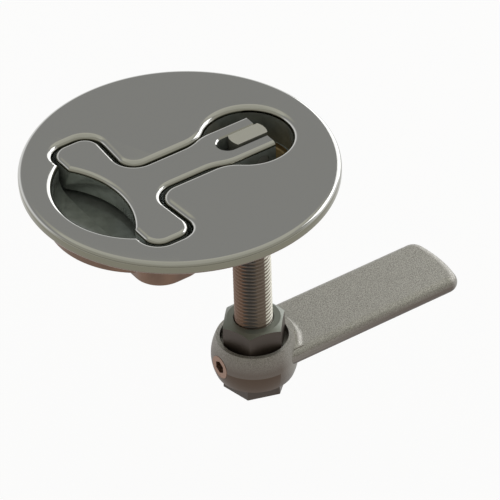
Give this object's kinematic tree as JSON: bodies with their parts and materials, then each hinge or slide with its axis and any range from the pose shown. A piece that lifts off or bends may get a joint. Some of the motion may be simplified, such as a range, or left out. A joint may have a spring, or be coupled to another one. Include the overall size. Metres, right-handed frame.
{
  "type": "flush lift-and-turn compression latch",
  "caption": "Round flush latch with a T handle that lifts out of its pocket, a cam fork that lowers a threaded shaft, and a swinging pawl.",
  "frame": {"origin": "centre of the round flange on its seating plane, midway between the two tapped fixing bosses", "axes": "+Z out of the panel, along the shaft; +X from the T grip towards the shaft and the pawl in its latched position"},
  "size_m": [0.1145, 0.0762, 0.0768],
  "materials": {
    "polished_casting": "cast 316 stainless steel, polished to a mirror",
    "bar_steel": "turned and thread-rolled stainless bar",
    "nut_steel": "machined stainless hexagon bar",
    "cast_pawl": "investment-cast stainless, bead blasted",
    "screw_steel": "turned stainless set screw",
    "seal_rubber": "nitrile rubber",
    "bush_acetal": "turned white acetal"
  },
  "bodies": {
    "housing": {"housing": "polished_casting", "shaft_seal": "seal_rubber", "shaft_bush": "bush_acetal"},
    "shaft": {"shaft": "bar_steel"},
    "handle": {"handle": "polished_casting", "pivot_pin": "bar_steel"},
    "pawl": {"pawl": "cast_pawl", "upper_nut": "nut_steel", "set_screw": "screw_steel", "lower_nut": "nut_steel"}
  },
  "joints": [
    {"name": "handle_lift", "type": "hinge", "parent": "shaft", "child": "handle", "pos_m": [0.0194, 0, -0.00115], "axis": [0, 1, 0], "range_deg": [0, 90]},
    {"name": "shaft_slide", "type": "slide", "parent": "housing", "child": "shaft", "axis": [0, 0, 1], "range_m": [-0.0022, 0]},
    {"name": "pawl_turn", "type": "hinge", "parent": "shaft", "child": "pawl", "pos_m": [0.0194, 0, -0.063], "axis": [0, 0, 1], "continuous": true}
  ],
  "couplings": [
    {"joint": "handle_lift", "follows": "shaft_slide", "rad_per_m": -714}
  ]
}
